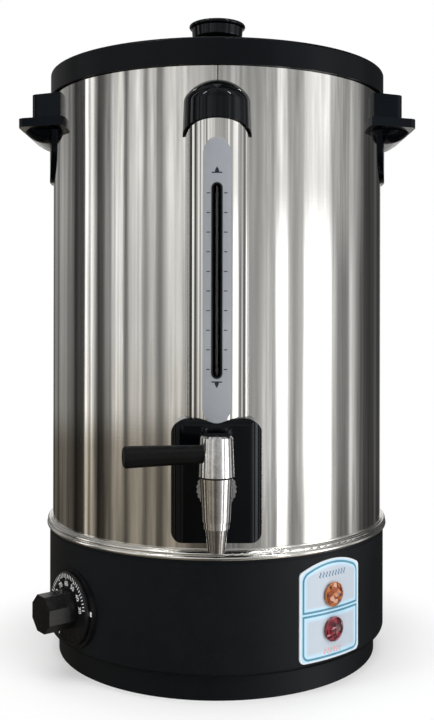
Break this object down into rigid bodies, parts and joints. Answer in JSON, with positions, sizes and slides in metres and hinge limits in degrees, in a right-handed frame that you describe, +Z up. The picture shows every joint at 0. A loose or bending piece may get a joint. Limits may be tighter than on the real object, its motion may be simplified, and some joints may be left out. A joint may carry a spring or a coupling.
{
  "type": "hot water urn",
  "caption": "Upright polished steel drum on a black base, with a lift-off lid, side handles, a sight gauge, a lever tap, a thermostat dial and indicator lamps.",
  "frame": {"origin": "centre of the foot ring's lower face, on the drum's axis", "axes": "+Z up, -Y towards the front with the gauge and the tap, +X to the viewer's right"},
  "size_m": [0.325, 0.3566, 0.531],
  "materials": {
    "base_plastic": "fine matte grain, black",
    "lid_plastic": "satin moulded black",
    "gloss_black": "glossy moulded black",
    "lever_black": "satin black",
    "dial_black": "satin black with white numbers",
    "polished_steel": "mirror polished",
    "tank_steel": "satin, drawn",
    "plate_steel": "zinc coated sheet",
    "fastener_steel": "zinc plated",
    "tap_chrome": "bright chrome plate",
    "brass": "machined",
    "nickel_brass": "nickel plated",
    "copper": "drawn copper",
    "element_alloy": "dull nickel alloy sheath",
    "black_rubber": "moulded",
    "red_silicone": "moulded silicone",
    "sight_glass": "clear tube",
    "scale_grey": "silk-screened grey",
    "plate_print": "printed sheet with a white border and blue lines",
    "lens_amber": "translucent faceted lens",
    "lens_red": "translucent faceted lens",
    "ivory_plastic": "phenolic moulding",
    "inlet_black": "moulded thermoplastic"
  },
  "bodies": {
    "urn": {"base_housing": "base_plastic", "bottom_plate": "plate_steel", "rubber_feet": "black_rubber", "bottom_screws": "fastener_steel", "tie_rods": "fastener_steel", "tie_rod_nuts": "fastener_steel", "trim_ring": "polished_steel", "outer_jacket": "polished_steel", "inner_tank": "tank_steel", "handle_left": "gloss_black", "handle_right": "gloss_black", "handle_screws": "fastener_steel", "gauge_column": "polished_steel", "gauge_scale": "scale_grey", "gauge_slot_trim": "black_rubber", "gauge_glass": "sight_glass", "gauge_lower_seal": "black_rubber", "gauge_vent_plug": "black_rubber", "gauge_hood": "gloss_black", "gauge_tee": "nickel_brass", "tap_housing": "gloss_black", "tap_knurled_nut": "tap_chrome", "tap_body": "tap_chrome", "tap_collar": "tap_chrome", "tap_spout": "tap_chrome", "tap_seal": "black_rubber", "tap_outer_washer": "black_rubber", "tap_inner_washer": "red_silicone", "tap_inner_nut": "nickel_brass", "heating_element": "element_alloy", "element_seals": "red_silicone", "element_nuts": "brass", "dry_boil_cutout": "ivory_plastic", "thermostat_body": "ivory_plastic", "thermostat_bulb": "copper", "thermostat_nut": "nickel_brass", "thermostat_bezel": "dial_black", "indicator_plate": "plate_print", "lamp_amber": "lens_amber", "lamp_red": "lens_red", "lamp_holders": "inlet_black", "terminal_block": "ivory_plastic", "power_inlet": "inlet_black", "inlet_pins": "fastener_steel", "inlet_screws": "fastener_steel"},
    "tap_handle": {"tap_bonnet": "tap_chrome", "tap_lever": "lever_black", "tap_lever_stud": "fastener_steel", "tap_plug": "brass"},
    "dial": {"thermostat_knob": "dial_black", "thermostat_spindle": "fastener_steel"},
    "lid": {"lid": "lid_plastic", "lid_knob": "gloss_black", "lid_knob_screw": "fastener_steel", "lid_knob_washer": "black_rubber"}
  },
  "joints": [
    {"name": "tap_turn", "type": "hinge", "parent": "urn", "child": "tap_handle", "pos_m": [0, -0.185, 0.188], "axis": [0, 0, 1], "range_deg": [0, 90]},
    {"name": "dial_turn", "type": "hinge", "parent": "urn", "child": "dial", "pos_m": [-0.1182, -0.09235, 0.053], "axis": [-0.788, -0.6157, 0], "range_deg": [-270, 0]},
    {"name": "lid_lift", "type": "slide", "parent": "urn", "child": "lid", "axis": [0, 0, 1], "range_m": [0, 0.12]}
  ]
}
